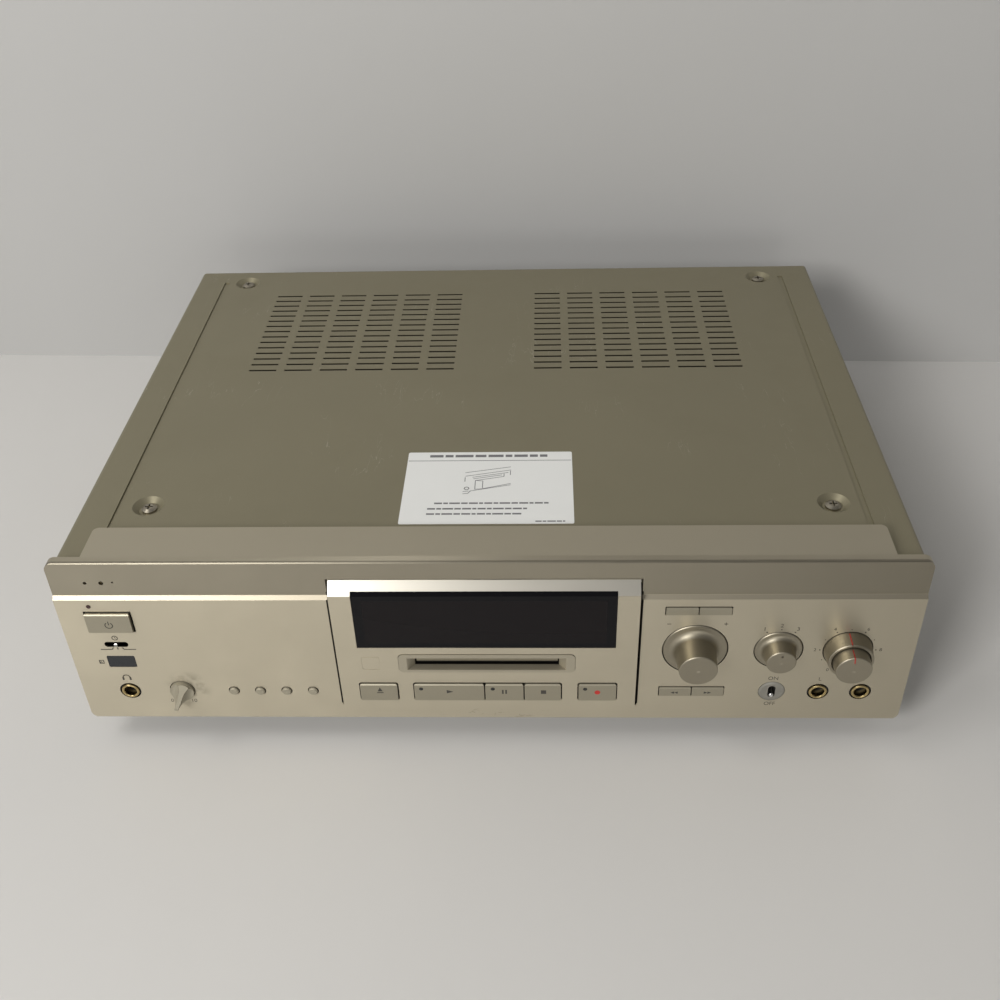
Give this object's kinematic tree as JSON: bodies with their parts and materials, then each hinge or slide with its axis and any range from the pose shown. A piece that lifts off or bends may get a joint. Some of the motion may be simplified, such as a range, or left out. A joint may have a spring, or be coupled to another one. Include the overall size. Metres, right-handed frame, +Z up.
{
  "type": "minidisc deck",
  "caption": "Full-width hi-fi minidisc deck with a champagne aluminium front, slot loading disc drive, turning knobs, keys, jacks and a vented sheet cover.",
  "frame": {"origin": "on the floor under the middle of the deck, feet, knobs and rear jacks included", "axes": "+X to the right as seen from the front, +Y from the front panel towards the rear, +Z up"},
  "size_m": [0.43, 0.355, 0.125],
  "materials": {
    "champagne_aluminium": "fine blasted, champagne anodised",
    "knob_aluminium": "turned and champagne anodised",
    "champagne_plastic": "champagne painted, satin",
    "cover_paint": "khaki champagne paint, fine satin",
    "black_sheet": "satin black",
    "zinc_steel": "zinc plated sheet",
    "bright_steel": "polished plating",
    "nickel": "satin nickel",
    "screw_steel": "champagne painted steel screws",
    "dark_acrylic": "glossy, smoke black",
    "label_paper": "matt coated paper",
    "foot_plastic": "black",
    "foot_rubber": "matt",
    "lamp_plastic": "dark red lens, unlit",
    "jack_brass": "gold plated",
    "jack_gold": "gold plated",
    "circuit_board": "green solder resist",
    "power_circuit_board": "brown phenolic board",
    "capacitor_sleeve": "dark blue sleeve",
    "tube_glass": "dark glass front",
    "part_alloy": "cast and plated",
    "core_steel": "varnished laminations",
    "black_aluminium": "black anodised",
    "black_plastic": "moulded black",
    "pickup_plastic": "dark moulding",
    "white_plastic": "natural acetal"
  },
  "bodies": {
    "case": {"base_chassis": "zinc_steel", "front_frame": "zinc_steel", "rear_panel": "black_sheet", "front_panel": "champagne_aluminium", "centre_panel": "champagne_aluminium", "display_window": "dark_acrylic", "slot_bezel": "champagne_plastic", "top_cover": "cover_paint", "cover_label": "label_paper", "case_screws": "screw_steel", "feet": "foot_plastic", "foot_pads": "foot_rubber", "power_lamp": "lamp_plastic", "sensor_window": "dark_acrylic", "front_jacks": "jack_brass", "toggle_bush": "nickel", "front_boards": "circuit_board", "display_tube": "tube_glass", "rotary_parts": "part_alloy", "main_board": "circuit_board", "power_board": "power_circuit_board", "capacitors": "capacitor_sleeve", "heat_sink": "black_aluminium", "mains_transformer": "core_steel", "line_jacks": "jack_gold", "digital_jacks": "jack_gold", "mains_inlet": "black_plastic", "drive_frame": "zinc_steel", "guide_rods": "bright_steel", "drive_motors": "part_alloy"},
    "slot_flap": {"slot_flap": "champagne_plastic"},
    "mic_toggle": {"mic_toggle": "bright_steel"},
    "power_button": {"power_button": "champagne_aluminium"},
    "timer_lever": {"timer_lever": "bright_steel"},
    "phones_level_knob": {"phones_level_knob": "champagne_plastic"},
    "clock_button": {"clock_button": "champagne_plastic"},
    "mode_button": {"mode_button": "champagne_plastic"},
    "repeat_button": {"repeat_button": "champagne_plastic"},
    "display_button": {"display_button": "champagne_plastic"},
    "eject_button": {"eject_button": "champagne_plastic"},
    "play_button": {"play_button": "champagne_plastic"},
    "pause_button": {"pause_button": "champagne_plastic"},
    "stop_button": {"stop_button": "champagne_plastic"},
    "record_button": {"record_button": "champagne_plastic"},
    "edit_button": {"edit_button": "champagne_plastic"},
    "yes_button": {"yes_button": "champagne_plastic"},
    "search_back_button": {"search_back_button": "champagne_plastic"},
    "search_forward_button": {"search_forward_button": "champagne_plastic"},
    "jog_knob": {"jog_knob": "knob_aluminium"},
    "input_knob": {"input_knob": "knob_aluminium"},
    "record_outer_knob": {"record_outer_knob": "knob_aluminium"},
    "record_inner_knob": {"record_inner_knob": "knob_aluminium"},
    "spindle_turntable": {"spindle_turntable": "part_alloy"},
    "optical_pickup": {"optical_pickup": "pickup_plastic"},
    "head_arm": {"head_arm": "bright_steel"},
    "lead_screw": {"lead_screw": "bright_steel"},
    "cartridge_holder": {"cartridge_holder": "zinc_steel"},
    "loading_slider": {"loading_slider": "white_plastic"},
    "loading_gear": {"loading_gear": "white_plastic"}
  },
  "joints": [
    {"name": "power_press", "type": "slide", "parent": "case", "child": "power_button", "axis": [0, 1, 0], "range_m": [0, 0.003], "stiffness_N_per_m": 300, "springref_m": -0.002},
    {"name": "clock_press", "type": "slide", "parent": "case", "child": "clock_button", "axis": [0, 1, 0], "range_m": [0, 0.001], "stiffness_N_per_m": 400, "springref_m": -0.001},
    {"name": "mode_press", "type": "slide", "parent": "case", "child": "mode_button", "axis": [0, 1, 0], "range_m": [0, 0.001], "stiffness_N_per_m": 400, "springref_m": -0.001},
    {"name": "repeat_press", "type": "slide", "parent": "case", "child": "repeat_button", "axis": [0, 1, 0], "range_m": [0, 0.001], "stiffness_N_per_m": 400, "springref_m": -0.001},
    {"name": "display_press", "type": "slide", "parent": "case", "child": "display_button", "axis": [0, 1, 0], "range_m": [0, 0.001], "stiffness_N_per_m": 400, "springref_m": -0.001},
    {"name": "edit_press", "type": "slide", "parent": "case", "child": "edit_button", "axis": [0, 1, 0], "range_m": [0, 0.001], "stiffness_N_per_m": 400, "springref_m": -0.001},
    {"name": "yes_press", "type": "slide", "parent": "case", "child": "yes_button", "axis": [0, 1, 0], "range_m": [0, 0.001], "stiffness_N_per_m": 400, "springref_m": -0.001},
    {"name": "search_back_press", "type": "slide", "parent": "case", "child": "search_back_button", "axis": [0, 1, 0], "range_m": [0, 0.001], "stiffness_N_per_m": 400, "springref_m": -0.001},
    {"name": "search_forward_press", "type": "slide", "parent": "case", "child": "search_forward_button", "axis": [0, 1, 0], "range_m": [0, 0.001], "stiffness_N_per_m": 400, "springref_m": -0.001},
    {"name": "eject_press", "type": "slide", "parent": "case", "child": "eject_button", "axis": [0, 1, 0], "range_m": [0, 0.001], "stiffness_N_per_m": 400, "springref_m": -0.001},
    {"name": "play_press", "type": "slide", "parent": "case", "child": "play_button", "axis": [0, 1, 0], "range_m": [0, 0.001], "stiffness_N_per_m": 400, "springref_m": -0.001},
    {"name": "pause_press", "type": "slide", "parent": "case", "child": "pause_button", "axis": [0, 1, 0], "range_m": [0, 0.001], "stiffness_N_per_m": 400, "springref_m": -0.001},
    {"name": "stop_press", "type": "slide", "parent": "case", "child": "stop_button", "axis": [0, 1, 0], "range_m": [0, 0.001], "stiffness_N_per_m": 400, "springref_m": -0.001},
    {"name": "record_press", "type": "slide", "parent": "case", "child": "record_button", "axis": [0, 1, 0], "range_m": [0, 0.001], "stiffness_N_per_m": 400, "springref_m": -0.001},
    {"name": "timer_shift", "type": "slide", "parent": "case", "child": "timer_lever", "axis": [1, 0, 0], "range_m": [-0.0036, 0.0036]},
    {"name": "phones_level_turn", "type": "hinge", "parent": "case", "child": "phones_level_knob", "pos_m": [-0.1619, -0.162, 0.039], "axis": [0, -1, 0], "range_deg": [-300, 0]},
    {"name": "jog_turn", "type": "hinge", "parent": "case", "child": "jog_knob", "pos_m": [0.1054, -0.162, 0.069], "axis": [0, -1, 0], "continuous": true},
    {"name": "input_turn", "type": "hinge", "parent": "case", "child": "input_knob", "pos_m": [0.1471, -0.162, 0.0686], "axis": [0, -1, 0], "range_deg": [-30, 30]},
    {"name": "record_outer_turn", "type": "hinge", "parent": "case", "child": "record_outer_knob", "pos_m": [0.1816, -0.162, 0.0686], "axis": [0, -1, 0], "range_deg": [-155, 145]},
    {"name": "record_inner_turn", "type": "hinge", "parent": "case", "child": "record_inner_knob", "pos_m": [0.1816, -0.162, 0.0686], "axis": [0, -1, 0], "range_deg": [-155, 145]},
    {"name": "mic_toggle_tilt", "type": "hinge", "parent": "case", "child": "mic_toggle", "pos_m": [0.1469, -0.155, 0.0389], "axis": [1, 0, 0], "range_deg": [-36, 0]},
    {"name": "slot_flap_swing", "type": "hinge", "parent": "case", "child": "slot_flap", "pos_m": [0, -0.1598, 0.0659], "axis": [1, 0, 0], "range_deg": [0, 75], "stiffness_Nm_per_rad": 0.004, "springref_deg": -22.92},
    {"name": "spindle_turn", "type": "hinge", "parent": "case", "child": "spindle_turntable", "pos_m": [0, -0.108, 0.048], "axis": [0, 0, 1], "continuous": true},
    {"name": "pickup_travel", "type": "slide", "parent": "case", "child": "optical_pickup", "axis": [1, 0, 0], "range_m": [0, 0.015]},
    {"name": "lead_screw_turn", "type": "hinge", "parent": "case", "child": "lead_screw", "pos_m": [0, -0.085, 0.0432], "axis": [1, 0, 0], "range_deg": [-2, 2702]},
    {"name": "head_lower", "type": "hinge", "parent": "optical_pickup", "child": "head_arm", "pos_m": [0.014, -0.064, 0.074], "axis": [1, 0, 0], "range_deg": [0, 8]},
    {"name": "slider_travel", "type": "slide", "parent": "case", "child": "loading_slider", "axis": [0, -1, 0], "range_m": [0, 0.012]},
    {"name": "holder_lift", "type": "slide", "parent": "case", "child": "cartridge_holder", "axis": [0, 0, 1], "range_m": [-0.0045, 0]},
    {"name": "loading_gear_turn", "type": "hinge", "parent": "case", "child": "loading_gear", "pos_m": [0.053, -0.08568, 0.0446], "axis": [1, 0, 0], "range_deg": [-1, 116]}
  ],
  "couplings": [
    {"joint": "lead_screw_turn", "follows": "pickup_travel", "rad_per_m": 3141.6},
    {"joint": "holder_lift", "follows": "slider_travel", "ratio": -0.375},
    {"joint": "loading_gear_turn", "follows": "slider_travel", "rad_per_m": 166.67}
  ]
}
